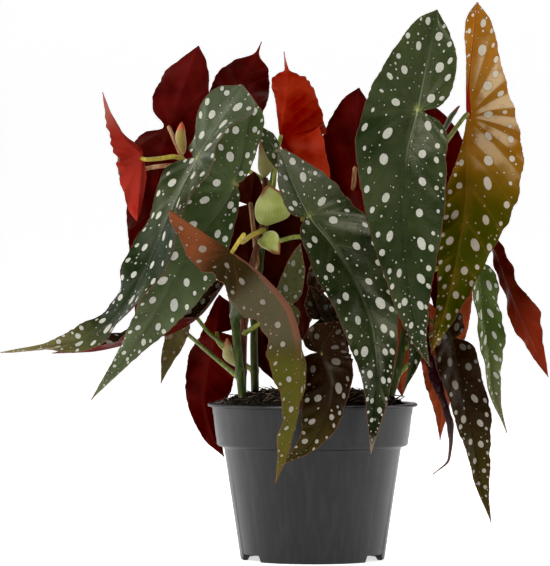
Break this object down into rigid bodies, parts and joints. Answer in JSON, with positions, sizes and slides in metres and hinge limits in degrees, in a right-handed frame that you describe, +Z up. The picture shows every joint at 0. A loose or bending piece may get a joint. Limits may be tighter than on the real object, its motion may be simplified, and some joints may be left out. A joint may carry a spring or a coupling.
{
  "type": "potted polka dot begonia",
  "caption": "Potted polka dot begonia: angel-wing leaves with pale spots and red undersides on jointed canes, in a plain grey nursery pot filled with soil.",
  "frame": {"origin": "on the pot's axis, at the surface that the pot stands on", "axes": "+Z up along the pot's axis, -Y towards the viewer, +X to the viewer's right"},
  "size_m": [0.3656, 0.2154, 0.3708],
  "materials": {
    "pot": "satin",
    "soil": "matte",
    "cane": "satin",
    "stipule": "satin",
    "leaf_green": "satin",
    "leaf_dark": "satin",
    "leaf_red": "satin",
    "leaf_gold": "satin",
    "leaf_rust": "satin",
    "leaf_olive": "satin"
  },
  "bodies": {
    "root": {"cane_back": "cane", "cane_brown": "cane", "cane_green": "cane", "cane_middle": "cane", "cane_olive": "cane", "cane_right": "cane", "leaf_amber": "leaf_gold", "leaf_back_left": "leaf_red", "leaf_back_middle": "leaf_red", "leaf_back_right": "leaf_red", "leaf_back_top": "leaf_red", "leaf_bronze": "leaf_gold", "leaf_centre": "leaf_green", "leaf_core": "leaf_red", "leaf_curled": "leaf_dark", "leaf_dark_low": "leaf_dark", "leaf_diagonal": "leaf_green", "leaf_far_right": "leaf_red", "leaf_flame": "leaf_red", "leaf_hidden_front": "leaf_green", "leaf_inner": "leaf_red", "leaf_left": "leaf_green", "leaf_left_inner": "leaf_green", "leaf_long_dark": "leaf_dark", "leaf_low_front": "leaf_dark", "leaf_low_left": "leaf_red", "leaf_low_middle": "leaf_red", "leaf_low_right": "leaf_dark", "leaf_olive_tip": "leaf_green", "leaf_orange_low": "leaf_red", "leaf_orange_right": "leaf_red", "leaf_red_low": "leaf_red", "leaf_right_green": "leaf_green", "leaf_rust": "leaf_rust", "leaf_scarlet": "leaf_red", "leaf_shade": "leaf_dark", "leaf_small_brown": "leaf_olive", "leaf_sprig": "leaf_green", "leaf_wine_centre": "leaf_red", "leaf_wine_left": "leaf_red", "leaf_wine_mid": "leaf_red", "leaf_wine_right": "leaf_red", "pot": "pot", "soil": "soil", "stipule_dark": "stipule", "stipule_large": "stipule", "stipule_left_bud": "stipule", "stipule_lower": "stipule", "stipule_pod": "stipule", "stipule_right_bud": "stipule", "stipule_sheath": "stipule"}
  },
  "joints": []
}
